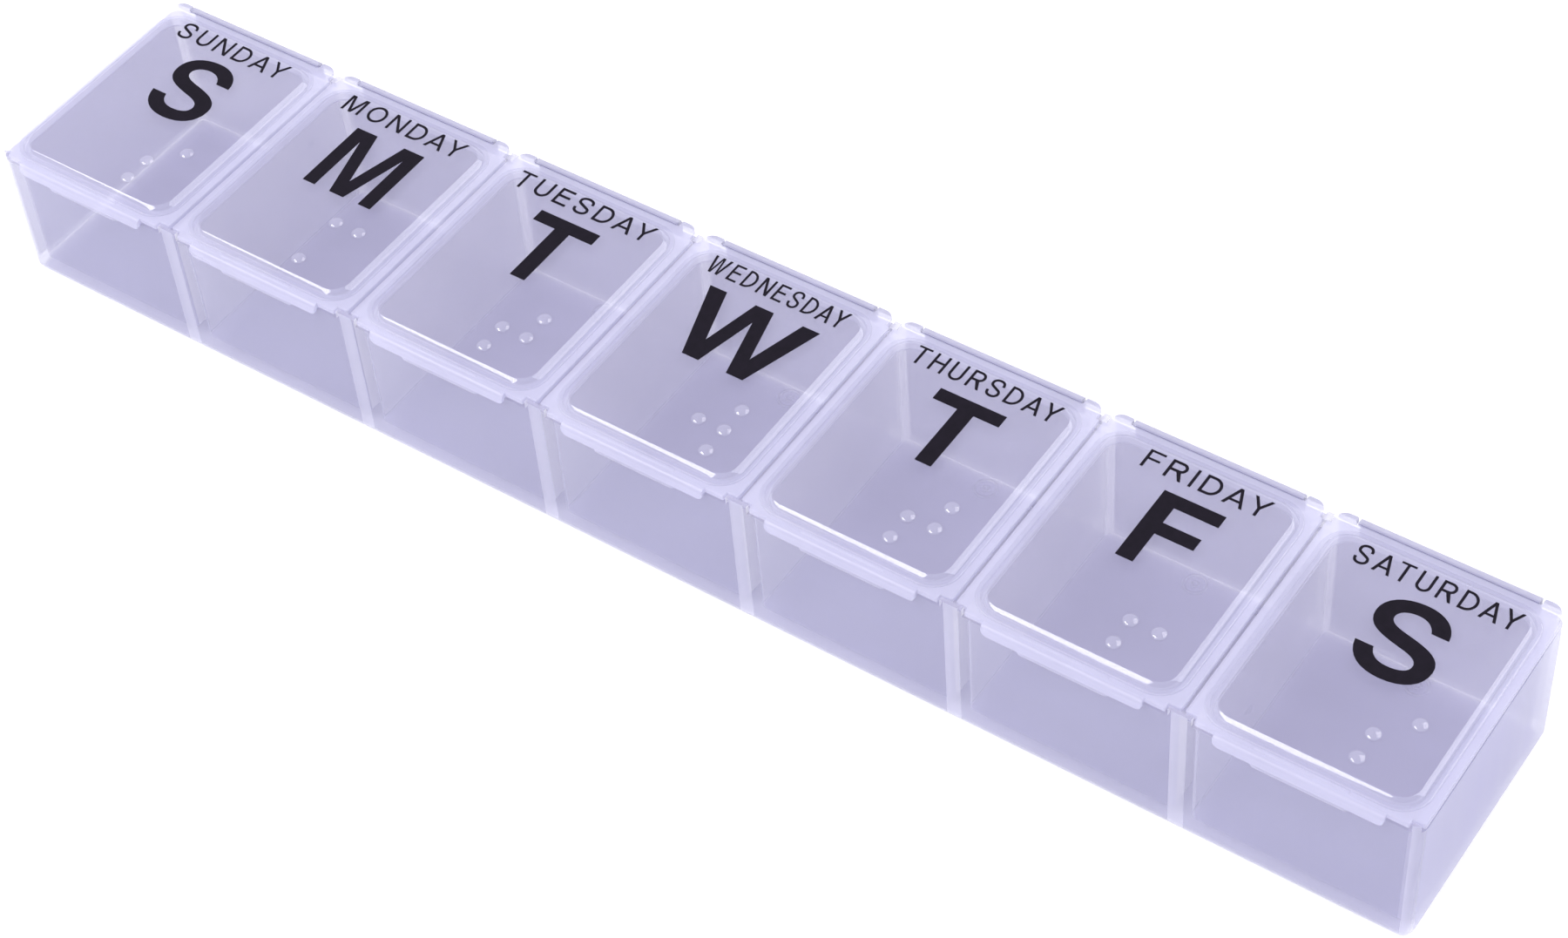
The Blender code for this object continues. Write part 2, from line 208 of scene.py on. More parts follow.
def rounded_rectangle(x0, x1, y0, y1, radius, steps=ARC):
    """Counter-clockwise outline of a rectangle with round corners."""
    points = []
    corners = (
        (x1 - radius, y0 + radius, -90),
        (x1 - radius, y1 - radius, 0),
        (x0 + radius, y1 - radius, 90),
        (x0 + radius, y0 + radius, 180),
    )
    for centre_x, centre_y, start in corners:
        for angle in quarter_turn(steps, start):
            points.append((centre_x + radius * math.cos(angle), centre_y + radius * math.sin(angle)))
    return points


def square_cornered(corners, steps=ARC):
    """Outline through right-angled corners (x, y, radius), each rounded either way."""
    points = []
    for index, (x, y, radius) in enumerate(corners):
        corner = Vector((x, y))
        before = (Vector(corners[index - 1][:2]) - corner).normalized()
        after = (Vector(corners[(index + 1) % len(corners)][:2]) - corner).normalized()
        centre = corner + (before + after) * radius
        for angle in quarter_turn(steps):
            points.append(tuple(centre - (after * math.cos(angle) + before * math.sin(angle)) * radius))
    return points


def at_height(outline, z):
    return [(x, y, z) for x, y in outline]


def along_x(profile, x):
    return [(x, y, z) for y, z in profile]


def add_loft(bm, loops):
    """Join loops of equal length into one closed shape with flat ends."""
    rings = [[bm.verts.new(point) for point in loop] for loop in loops]
    count = len(rings[0])
    for lower, upper in zip(rings, rings[1:]):
        for index in range(count):
            after = (index + 1) % count
            bm.faces.new((lower[index], lower[after], upper[after], upper[index]))
    bm.faces.new(list(reversed(rings[0])))
    bm.faces.new(rings[-1])


def add_box(bm, x0, x1, y0, y1, z0, z1):
    outline = ((x0, y0), (x1, y0), (x1, y1), (x0, y1))
    add_loft(bm, [at_height(outline, z0), at_height(outline, z1)])


def make_piece(name, bm):
    bmesh.ops.recalc_face_normals(bm, faces=bm.faces)
    mesh = bpy.data.meshes.new(name)
    bm.to_mesh(mesh)
    bm.free()
    piece = bpy.data.objects.new(name, mesh)
    bpy.context.scene.collection.objects.link(piece)
    return piece


def bake_modifiers(piece):
    """Replace a piece's mesh by what its modifiers make of it."""
    evaluated = piece.evaluated_get(bpy.context.evaluated_depsgraph_get())
    mesh = bpy.data.meshes.new_from_object(evaluated)
    piece.modifiers.clear()
    piece.data = mesh


def combine(piece, bm, operation):
    """Join a shape to a piece, or cut the piece with it."""
    tool = make_piece("tool", bm)
    modifier = piece.modifiers.new("combine", "BOOLEAN")
    modifier.operation = operation
    modifier.solver = "EXACT"
    modifier.object = tool
    bake_modifiers(piece)
    bpy.data.objects.remove(tool, do_unlink=True)


def split(piece, point, normal):
    """Run an edge round a piece where a plane crosses it, so that its two sides can look different."""
    bm = bmesh.new()
    bm.from_mesh(piece.data)
    bmesh.ops.bisect_plane(
        bm, geom=[*bm.verts, *bm.edges, *bm.faces], plane_co=point, plane_no=normal
    )
    bm.to_mesh(piece.data)
    bm.free()


def smooth(piece, limit=35):
    piece.data.shade_smooth()
    piece.data.set_sharp_from_angle(angle=math.radians(limit))


# ---------------------------------------------------------------- tray

def tray_block():
    """Outer block, as high as the front posts, with a rounded foot and upright corners."""
    bm = bmesh.new()
    levels = []
    for angle in quarter_turn(ARC):
        levels.append((TRAY_FOOT * (1 - math.sin(angle)), TRAY_FOOT * (1 - math.cos(angle))))
    levels.append((0.0, PLATE_TOP))
    loops = []
    for inset, z in levels:
        outline = rounded_rectangle(
            -HALF_LENGTH + inset,
            HALF_LENGTH - inset,
            FRONT_Y + inset,
            BACK_Y - inset,
            TRAY_CORNER - inset,
        )
        loops.append(at_height(outline, z))
    add_loft(bm, loops)
    return bm


def lid_seats():
    """All that lies above the rim, apart from the posts between the lids, as one slab."""
    bm = bmesh.new()
    end = HALF_LENGTH + SINK
    back = BACK_Y + SINK
    post_back = FRONT_Y + POST_DEPTH
    post_front = BACK_Y - BACK_POST_DEPTH
    half = (PITCH - POST_WIDTH) / 2
    back_half = (PITCH - BACK_POST_WIDTH) / 2
    front_side = []
    back_side = []
    for x in CENTRES:
        front_side += [
            (x - half, post_back),
            (x - half, FRONT_Y - SINK),
            (x + half, FRONT_Y - SINK),
            (x + half, post_back),
        ]
        if x != CENTRES[0]:
            back_side += [(x - back_half, post_front), (x - back_half, back)]
        if x != CENTRES[-1]:
            back_side += [(x + back_half, back), (x + back_half, post_front)]
    outline = [(-end, post_back)] + front_side + [(end, post_back), (end, back)]
    outline += list(reversed(back_side)) + [(-end, back)]
    add_loft(bm, [at_height(outline, RIM_Z), at_height(outline, PLATE_TOP + SINK)])
    return bm


def above_back_posts():
    """The space over the back posts, which end lower than the front ones."""
    bm = bmesh.new()
    end = HALF_LENGTH + SINK
    add_box(bm, -end, end, 0.0, BACK_Y + SINK, RIM_Z + BACK_POST_RISE, PLATE_TOP + SINK)
    return bm


def pocket(x):
    """One compartment, with rounded corners and a fillet round its floor."""
    left = x - (PITCH - DIVIDER) / 2
    right = x + (PITCH - DIVIDER) / 2
    if x == CENTRES[0]:
        left = -HALF_LENGTH + WALL
    if x == CENTRES[-1]:
        right = HALF_LENGTH - WALL
    bm = bmesh.new()
    levels = []
    for angle in quarter_turn(FINE_ARC):
        levels.append((
            POCKET_FILLET * (1 - math.sin(angle)),
            FLOOR + POCKET_FILLET * (1 - math.cos(angle)),
        ))
    levels.append((0.0, PLATE_TOP + SINK))
    loops = []
    for inset, z in levels:
        outline = rounded_rectangle(
            left + inset,
            right - inset,
            FRONT_Y + WALL + inset,
            BACK_Y - WALL - inset,
            POCKET_CORNER - inset,
            FINE_ARC,
        )
        loops.append(at_height(outline, z))
    add_loft(bm, loops)
    return bm


def divider_notches():
    """Shallow cuts over each divider, with a small rib left standing near its middle."""
    bm = bmesh.new()
    over = DIVIDER / 2 + NUDGE
    front = FRONT_Y + WALL + POCKET_CORNER
    back = BACK_Y - WALL - POCKET_CORNER
    for x in (centre + PITCH / 2 for centre in CENTRES[:-1]):
        for y0, y1 in ((front, RIB_Y - RIB / 2), (RIB_Y + RIB / 2, back)):
            add_box(bm, x - over, x + over, y0, y1, RIM_Z - DIVIDER_DROP, RIM_Z + SINK)
    return bm


def latches():
    """A half-round snap bead on the front face below each lid's thumb lip."""
    bm = bmesh.new()
    middle = LIP_BOTTOM - CLEARANCE - LATCH_HEIGHT / 2
    right_end = []
    for angle in quarter_turn(FINE_ARC, 0, LATCH_CAP):
        right_end.append((LATCH_WIDTH / 2 - LATCH_EASE * (1 - math.sin(angle)), math.cos(angle)))
    stations = [(-along, size) for along, size in reversed(right_end)] + right_end
    for x in CENTRES:
        loops = []
        for along, size in stations:
            profile = [(FRONT_Y + SINK, middle - LATCH_HEIGHT / 2 * size)]
            for angle in quarter_turn(2 * FINE_ARC, -90, 180):
                profile.append((
                    FRONT_Y - LATCH_PROUD * size * math.cos(angle),
                    middle + LATCH_HEIGHT / 2 * size * math.sin(angle),
                ))
            profile.append((FRONT_Y + SINK, middle + LATCH_HEIGHT / 2 * size))
            loops.append(along_x(profile, x + along))
        add_loft(bm, loops)
    return bm


def add_ring(bm, x, y, outer_radius):
    """A raised ring on the floor, with eased shoulders."""
    sides = 4 * ARC
    rings = []
    for step, z in (
        (0.0, FLOOR - SINK),
        (0.0, FLOOR + MARK_RISE * MARK_SHOULDER),
        (MARK_EASE, FLOOR + MARK_RISE),
        (1.0 - MARK_EASE, FLOOR + MARK_RISE),
        (1.0, FLOOR + MARK_RISE * MARK_SHOULDER),
        (1.0, FLOOR - SINK),
    ):
        radius = outer_radius - MARK_WIDTH * step
        ring = []
        for side in range(sides):
            angle = math.tau * side / sides
            ring.append(bm.verts.new((x + radius * math.cos(angle), y + radius * math.sin(angle), z)))
        rings.append(ring)
    for inner, outer in zip(rings, rings[1:] + rings[:1]):
        for side in range(sides):
            after = (side + 1) % sides
            bm.faces.new((inner[side], inner[after], outer[after], outer[side]))


def mould_marks():
    """Faint rings on each compartment's floor, near the back."""
    bm = bmesh.new()
    for x in CENTRES:
        for radius in (MARK_RADIUS, MARK_CENTRE):
            add_ring(bm, x - MARK_LEFT, BACK_Y - MARK_BACK, radius)
    return bm


def make_tray():
    tray = make_piece("tray_moulding", tray_block())
    combine(tray, lid_seats(), "DIFFERENCE")
    combine(tray, above_back_posts(), "DIFFERENCE")
    for x in CENTRES:
        combine(tray, pocket(x), "DIFFERENCE")
    combine(tray, divider_notches(), "DIFFERENCE")
    combine(tray, latches(), "UNION")
    combine(tray, mould_marks(), "UNION")
    # Edges at the planes of the divider faces mark off the strips that take the painted light band.
    for x in CENTRES[:-1]:
        for side in (-1, 1):
            face_x = x + PITCH / 2 + side * (DIVIDER / 2 - NUDGE)
            split(tray, (face_x, 0.0, 0.0), (1.0, 0.0, 0.0))
    smooth(tray)
    return tray


# ---------------------------------------------------------------- lids, drawn about X = 0

def lid_plate():
    """Flat border with eased edges, cut out around the posts and the hinge."""
    bm = bmesh.new()
    cut_x = (PITCH - POST_WIDTH) / 2 - CLEARANCE
    cut_y = FRONT_Y + POST_DEPTH + CLEARANCE
    back_cut_x = (PITCH - BACK_POST_WIDTH) / 2 - CLEARANCE
    back_cut_y = BACK_Y - BACK_POST_DEPTH - CLEARANCE
    hinge_x = WEB_WIDTH / 2 + CLEARANCE
    levels = []
    for angle in quarter_turn(FINE_ARC):
        levels.append((PLATE_EDGE * (1 - math.sin(angle)), PLATE_EDGE * (1 - math.cos(angle))))
    levels += [(inset, PLATE - rise) for inset, rise in reversed(levels)]
    loops = []
    for inset, rise in levels:
        convex = NOTCH_CORNER - inset
        concave = NOTCH_CORNER + inset
        right = (
            (cut_x - inset, FRONT_Y + inset, convex),
            (cut_x - inset, cut_y + inset, concave),
            (LID_HALF - inset, cut_y + inset, convex),
            (LID_HALF - inset, back_cut_y - inset, convex),
            (back_cut_x - inset, back_cut_y - inset, concave),
            (back_cut_x - inset, LID_CORNER_Y - inset, LID_BACK_CORNER - inset),
            (hinge_x + inset, LID_CORNER_Y - inset, convex),
            (hinge_x + inset, LID_BACK_Y - inset, concave),
        )
        left = tuple((-x, y, radius) for x, y, radius in reversed(right))
        loops.append(at_height(square_cornered(right + left), PLATE_BOTTOM + rise))
    add_loft(bm, loops)
    return bm


def panel_loop(inset, z):
    """One level of the raised panel, inset from its foot."""
    outline = rounded_rectangle(
        -LID_HALF + PANEL_MARGIN + inset,
        LID_HALF - PANEL_MARGIN - inset,
        FRONT_Y + PANEL_FRONT_MARGIN + inset,
        LID_BACK_Y - PANEL_BACK_MARGIN - inset,
        PANEL_CORNER - inset,
    )
    return at_height(outline, z)


def raised_panel():
    """Low step with a rounded edge, then a rounded bevel up to the flat top."""
    bm = bmesh.new()
    loops = [panel_loop(-RING_WIDTH, PLATE_TOP - SINK)]
    for angle in quarter_turn(FINE_ARC):
        loops.append(panel_loop(
            -RING_WIDTH + RING_RISE * (1 - math.cos(angle)),
            PLATE_TOP + RING_RISE * math.sin(angle),
        ))
    rise = PANEL_TOP - RING_TOP
    slope = math.atan2(rise, PANEL_BEVEL)
    ease = BEVEL_EASE * math.tan(slope / 2)
    loops.append(panel_loop(-GROOVE, RING_TOP))
    loops.append(panel_loop(-GROOVE / 2, RING_TOP - GROOVE))
    loops.append(panel_loop(0.0, RING_TOP))
    for angle in (slope * (1 - step / ARC) for step in range(ARC + 1)):
        loops.append(panel_loop(
            PANEL_BEVEL + ease - BEVEL_EASE * math.sin(angle),
            PANEL_TOP - BEVEL_EASE * (1 - math.cos(angle)),
        ))
    add_loft(bm, loops)
    return bm


def panel_recess():
    """Hollow under the raised panel, with a rounded edge to its ceiling."""
    bm = bmesh.new()
    depth = PANEL_TOP - PANEL_SKIN - PLATE_BOTTOM
    loops = [panel_loop(PANEL_BEVEL / 2, PLATE_BOTTOM - SINK)]
    for angle in quarter_turn(FINE_ARC):
        loops.append(panel_loop(
            PANEL_BEVEL / 2 * (2 - math.cos(angle)),
            PLATE_BOTTOM + depth * math.sin(angle),
        ))
    add_loft(bm, loops)
    return bm


def thumb_lip():
    """Lip along the front edge that hangs past the rim, with round lower corners."""
    bm = bmesh.new()
    outer = FRONT_Y - PROUD
    inner = FRONT_Y - CLEARANCE
    shoulder = PLATE_TOP - NUDGE
    right_end = []
    for angle in reversed(quarter_turn(ARC)):
        along = LIP_WIDTH / 2 - LIP_CORNER * (1 - math.cos(angle))
        right_end.append((along, LIP_BOTTOM + LIP_CORNER * (1 - math.sin(angle))))
    stations = [(-along, bottom) for along, bottom in reversed(right_end)] + right_end
    loops = []
    for along, bottom in stations:
        profile = [
            (inner, bottom),
            (inner, PLATE_BOTTOM + NUDGE),
            (FRONT_Y + SINK, PLATE_BOTTOM + NUDGE),
            (FRONT_Y + SINK, shoulder),
        ]
        for angle in reversed(quarter_turn(ARC)):
            y = FRONT_Y - PROUD * math.cos(angle)
            profile.append((y, shoulder - LIP_ROUND * (1 - math.sin(angle))))
        profile += [(outer, bottom + LIP_EDGE), (outer + LIP_EDGE, bottom)]
        loops.append(along_x(profile, along))
    add_loft(bm, loops)
    return bm


def thumb_pad():
    """Very low flat strip on the border above the lip, where a thumb pushes."""
    bm = bmesh.new()
    loops = []
    for inset, z in ((0.0, PLATE_TOP - SINK), (0.0, PLATE_TOP), (PAD_RISE, PLATE_TOP + PAD_RISE)):
        outline = rounded_rectangle(
            -PAD_WIDTH / 2 + inset,
            PAD_WIDTH / 2 - inset,
            FRONT_Y + PLATE_EDGE + inset,
            FRONT_Y + PANEL_FRONT_MARGIN - RING_WIDTH - inset,
            2 * PAD_RISE - inset,
            FINE_ARC,
        )
        loops.append(at_height(outline, z))
    add_loft(bm, loops)
    return bm


def braille_dots(day):
    """Low domes of the day's cell, near the front of the raised panel."""
    bm = bmesh.new()
    cell_x = CELL_X + (SHIFTED_CELL if day.startswith("s") else 0.0)
    levels = [(DOT_RADIUS, PANEL_TOP - SINK / 2)]
    for angle in quarter_turn(ARC, 0, DOT_CAP):
        levels.append((DOT_RADIUS * math.cos(angle), PANEL_TOP + DOT_RISE * math.sin(angle)))
    for dot in BRAILLE[day]:
        centre_x = cell_x + (dot - 1) // 3 * DOT_PITCH
        centre_y = FRONT_Y + CELL_ROW_3 + (2 - (dot - 1) % 3) * DOT_PITCH
        loops = []
        for radius, z in levels:
            ring = []
            for side in range(DOT_SIDES):
                angle = math.tau * side / DOT_SIDES
                ring.append((centre_x + radius * math.cos(angle), centre_y + radius * math.sin(angle), z))
            loops.append(ring)
        add_loft(bm, loops)
    return bm


def make_lid(blank, day, x):
    """One day's lid: a copy of the blank with that day's braille dots."""
    lid = bpy.data.objects.new(f"lid_{day}_moulding", blank.data.copy())
    bpy.context.scene.collection.objects.link(lid)
    combine(lid, braille_dots(day), "UNION")
    # Edge that marks off the back strip, which takes the hinge plastic's painted shade.
    split(lid, (0.0, BACK_Y - 2 * NUDGE, 0.0), (0.0, 1.0, 0.0))
    lid.data.transform(Matrix.Translation((x, 0.0, 0.0)))
    smooth(lid)
    return lid


def make_blank_lid():
    blank = make_piece("blank_lid", lid_plate())
    combine(blank, raised_panel(), "UNION")
    combine(blank, thumb_lip(), "UNION")
    combine(blank, thumb_pad(), "UNION")
    combine(blank, panel_recess(), "DIFFERENCE")
    return blank


# ---------------------------------------------------------------- living hinges

def make_web(day, x):
    """Thin web that follows the back face up, turns over and runs to the lid's back edge."""
    outer = BACK_Y + PROUD
    bottom = HINGE_LOW.z
    top = HINGE_HIGH.z
    tip = LID_BACK_Y
    middle_y = outer - WEB / 2
    middle_z = top - WEB / 2
    bend = WEB_BEND - WEB / 2
    spine = []
    straight = middle_z - bend - bottom
    for step in range(ARC):
        spine.append((middle_y, bottom + straight * step / ARC, 0.0))
    for angle in quarter_turn(ARC):
        spine.append((
            middle_y - bend * (1 - math.cos(angle)),
            middle_z - bend * (1 - math.sin(angle)),
            angle,
        ))
    run = middle_y - bend - tip
    for step in range(1, FINE_ARC + 1):
        spine.append((middle_y - bend - run * step / FINE_ARC, middle_z, math.pi / 2))
    outside = []
    inside = []
    for y, z, angle in spine:
        outside.append((y + WEB / 2 * math.cos(angle), z + WEB / 2 * math.sin(angle)))
        inside.append((y - WEB / 2 * math.cos(angle), z - WEB / 2 * math.sin(angle)))
    profile = outside + list(reversed(inside))
    bm = bmesh.new()
    half = WEB_WIDTH / 2
    add_loft(bm, [along_x(profile, x + side) for side in (-half, half)])
    web = make_piece(f"hinge_{day}_web", bm)
    smooth(web)
    return web


# ---------------------------------------------------------------- print

def arc_points(centre_x, centre_y, radius_x, radius_y, start, sweep, steps=ARC):
    points = []
    for angle in quarter_turn(steps, start, sweep):
        points.append((centre_x + radius_x * math.cos(angle), centre_y + radius_y * math.sin(angle)))
    return points


def bezier(p0, p1, p2, p3, steps=ARC):
    """Points of a cubic curve, without its last one."""
    points = []
    for step in range(steps):
        t = step / steps
        weights = ((1 - t) ** 3, 3 * t * (1 - t) ** 2, 3 * t * t * (1 - t), t ** 3)
        points.append(tuple(
            sum(w * p[axis] for w, p in zip(weights, (p0, p1, p2, p3))) for axis in (0, 1)
        ))
    return points


def stroked(spine, stroke):
    """Outline of a line of even thickness with square ends."""
    left, right = [], []
    for index, point in enumerate(spine):
        before = Vector(spine[max(index - 1, 0)])
        after = Vector(spine[min(index + 1, len(spine) - 1)])
        along = (after - before).normalized() * stroke / 2
        left.append((point[0] - along.y, point[1] + along.x))
        right.append((point[0] + along.y, point[1] - along.x))
    return left + list(reversed(right))


# Each letter gives its outlines, holes included, for a width w and a stroke s in cap heights.
# All take both, though letter_i needs only the stroke and bold_s only the width.

def letter_a(w, s):
    c, y0 = s * 0.55, 0.24
    k = s * 1.1
    lean = w / 2 - c
    y1 = y0 + s * 0.9
    outer = [(0, 0), (w / 2 - c, 1), (w / 2 + c, 1), (w, 0), (w - k, 0)]
    outer += [(w - k - lean * y0, y0), (k + lean * y0, y0), (k, 0)]
    return [outer, [(k + lean * y1, y1), (w - k - lean * y1, y1), (w / 2, (w / 2 - k) / lean)]]


def letter_d(w, s):
    rx = min(0.46, 0.9 * (w - s))
    outer = [(0, 0)] + arc_points(w - rx, 0.5, rx, 0.5, -90, 180, 2 * ARC) + [(0, 1)]
    inner = [(s, s)] + arc_points(w - rx, 0.5, rx - s, 0.5 - s, -90, 180, 2 * ARC) + [(s, 1 - s)]
    return [outer, inner]


def letter_e(w, s):
    m = 0.53
    return [[(0, 0), (w, 0), (w, s), (s, s), (s, m - s / 2), (w * 0.93, m - s / 2),
             (w * 0.93, m + s / 2), (s, m + s / 2), (s, 1 - s), (w * 0.98, 1 - s), (w * 0.98, 1), (0, 1)]]


def letter_f(w, s):
    bar = s * 0.82
    m = 0.52
    return [[(0, 0), (s, 0), (s, m - bar / 2), (w * 0.91, m - bar / 2), (w * 0.91, m + bar / 2),
             (s, m + bar / 2), (s, 1 - bar), (w, 1 - bar), (w, 1), (0, 1)]]


def letter_h(w, s):
    m = 0.53
    return [[(0, 0), (s, 0), (s, m - s / 2), (w - s, m - s / 2), (w - s, 0), (w, 0), (w, 1),
             (w - s, 1), (w - s, m + s / 2), (s, m + s / 2), (s, 1), (0, 1)]]


def letter_i(w, s):
    return [[(0, 0), (s, 0), (s, 1), (0, 1)]]


def letter_m(w, s):
    k, c, v = s * 1.69, s * 0.58, s * 1.38
    lean = (w / 2 - k) / (1 - v)
    y1 = (w / 2 - c - s) / lean
    return [[(0, 0), (s, 0), (s, y1), (w / 2 - c, 0), (w / 2 + c, 0), (w - s, y1), (w - s, 0), (w, 0),
             (w, 1), (w - k, 1), (w / 2, v), (k, 1), (0, 1)]]


def letter_n(w, s):
    k = s * 1.2
    q = s / (w - k)
    return [[(0, 0), (s, 0), (s, 1 - q), (w - k, 0), (w, 0), (w, 1), (w - s, 1), (w - s, q), (k, 1), (0, 1)]]


def letter_o(w, s):
    over = 0.015
    outer = arc_points(w / 2, 0.5, w / 2, 0.5 + over, 0, 360, 4 * ARC)[:-1]
    inner = arc_points(w / 2, 0.5, w / 2 - s, 0.5 + over - s, 0, 360, 4 * ARC)[:-1]
    return [outer, inner]


def letter_r(w, s):
    y0 = 0.43
    ry = (1 - y0) / 2
    bowl = w * 0.96
    rx = ry
    leg = w - s * 1.6
    outer = [(0, 0), (s, 0), (s, y0), (leg - s * 1.5, y0), (w - s * 1.1, 0), (w, 0), (leg, y0 + s * 0.2)]
    outer += arc_points(bowl - rx, y0 + ry, rx, ry, -60, 150, 2 * ARC) + [(0, 1)]
    inner = [(s, y0 + s)] + arc_points(bowl - rx, y0 + ry, rx - s, ry - s, -90, 180, 2 * ARC) + [(s, 1 - s)]
    return [outer, inner]


def letter_s(w, s):
    """Half the spine runs from the middle to the upper terminal; the other half is it turned round."""
    over = 0.025
    top = 1 + over - s / 2
    left = s / 2 + 0.02 * w
    right = w - s / 2 - 0.02 * w
    shoulder = 0.745
    upper = bezier((w / 2, 0.5), (w * 0.24, 0.585), (left, 0.6), (left, shoulder))
    upper += bezier((left, shoulder), (left, 0.88), (w * 0.28, top), (w / 2, top))
    upper += bezier((w / 2, top), (w * 0.78, top), (right, 0.86), (right, 0.7))
    upper.append((right, 0.69))
    lower = [(w - x, 1 - y) for x, y in reversed(upper)]
    return [stroked(lower[:-1] + upper, s)]


def bold_s(w, s):
    """The heavy S of an initial, whose lower bowl is the wider one."""
    top, bottom, middle = 1.026, -0.026, 0.5 * w
    upper_end, lower_end = 0.728, 0.298
    outside = bezier((0.95 * w, upper_end), (0.93 * w, 0.92), (0.74 * w, top), (middle, top))
    outside += bezier((middle, top), (0.2 * w, top), (0.006 * w, 0.9), (0.006 * w, 0.724))
    outside += bezier((0.006 * w, 0.724), (0.006 * w, 0.52), (0.215 * w, 0.475), (0.504 * w, 0.415))
    outside += bezier((0.504 * w, 0.415), (0.68 * w, 0.385), (0.761 * w, 0.34), (0.761 * w, 0.27))
    outside += bezier((0.761 * w, 0.27), (0.761 * w, 0.185), (0.66 * w, 0.143), (middle, 0.143))
    outside += bezier((middle, 0.143), (0.35 * w, 0.143), (0.257 * w, 0.21), (0.24 * w, lower_end))
    inside = bezier((0.0, lower_end), (0.036 * w, 0.08), (0.24 * w, bottom), (middle, bottom))
    inside += bezier((middle, bottom), (0.81 * w, bottom), (w, 0.1), (w, 0.3))
    inside += bezier((w, 0.3), (w, 0.48), (0.81 * w, 0.54), (0.538 * w, 0.592))
    inside += bezier((0.538 * w, 0.592), (0.347 * w, 0.625), (0.238 * w, 0.66), (0.238 * w, 0.737))
    inside += bezier((0.238 * w, 0.737), (0.238 * w, 0.82), (0.347 * w, 0.87), (0.48 * w, 0.87))
    inside += bezier((0.48 * w, 0.87), (0.61 * w, 0.87), (0.693 * w, 0.81), (0.723 * w, upper_end))
    return [outside + [(0.24 * w, lower_end)] + inside + [(0.723 * w, upper_end)]]


def letter_t(w, s):
    bar = s * 0.85
    return [[(w / 2 - s / 2, 0), (w / 2 + s / 2, 0), (w / 2 + s / 2, 1 - bar), (w, 1 - bar), (w, 1),
             (0, 1), (0, 1 - bar), (w / 2 - s / 2, 1 - bar)]]


def letter_u(w, s):
    over = 0.015
    r = w / 2
    outer = arc_points(r, r - over, r, r, 180, 180, 2 * ARC)
    inner = arc_points(r, r - over, r - s, r - s, 0, -180, 2 * ARC)
    return [outer + [(w, 1), (w - s, 1)] + inner + [(s, 1), (0, 1)]]


def letter_w(w, s):
    k, c, m = s * 1.14, s * 0.61, s * 0.55
    b = w * 0.3
    u = s * 1.5
    v = 1 - s * 1.2
    left = [(0, 1), (k, 1), (b, u), (w / 2 - c, 1)]
    foot = [(b + m, 0), (b - m, 0)]
    return [left + [(w - x, y) for x, y in reversed(left)]
            + [(w - x, y) for x, y in reversed(foot)] + [(w / 2, v)] + foot]


def letter_y(w, s):
    k, y2 = s * 1.15, 0.41
    lean = (w / 2 - s / 2) / (1 - y2)
    y1 = 1 - (w / 2 - k) / lean
    return [[(0, 1), (k, 1), (w / 2, y1), (w - k, 1), (w, 1), (w / 2 + s / 2, y2), (w / 2 + s / 2, 0),
             (w / 2 - s / 2, 0), (w / 2 - s / 2, y2)]]


LETTERS = {
    "A": (letter_a, 0.93), "D": (letter_d, 0.84), "E": (letter_e, 0.74), "F": (letter_f, 0.72),
    "H": (letter_h, 0.80), "I": (letter_i, NAME_STROKE), "M": (letter_m, 0.98),
    "N": (letter_n, 0.82), "O": (letter_o, 0.96), "R": (letter_r, 0.82), "S": (letter_s, 0.80),
    "T": (letter_t, 0.78), "U": (letter_u, 0.78), "W": (letter_w, 1.28), "Y": (letter_y, 0.87),
}
INITIALS = {                         # shape, width, stroke
    "S": (bold_s, 0.84, 0.2), "M": (letter_m, 0.99, 0.175), "T": (letter_t, 0.82, 0.2),
    "W": (letter_w, 1.45, 0.195), "F": (letter_f, 0.72, 0.205),
}

# How much closer than evenly some pairs stand, in cap heights
KERNING = {"AY": 0.2, "DA": 0.09, "AT": 0.17, "SA": 0.06, "RS": 0.02}


def name_letters(text):
    """Each letter of a name as its shape, its width and the gap after it."""
    letters = []
    for index, char in enumerate(text):
        shape, width = LETTERS[char]
        pair = text[index:index + 2]
        gap = LETTER_GAP - KERNING.get(pair, 0.0) if len(pair) == 2 else 0.0
        letters.append((shape, width, gap))
    return letters


def printed_outlines(letters, centre, squeeze, cap, base, stroke):
    """Outlines of a run of letters set about a centre, in metres."""
    length = sum(width + gap for _, width, gap in letters) * squeeze
    at = centre / cap - length / 2
    outlines = []
    for shape, width, gap in letters:
        for outline in shape(width * squeeze, stroke):
            outlines.append([((at + x) * cap, FRONT_Y + base + y * cap) for x, y in outline])
        at += (width + gap) * squeeze
    return outlines


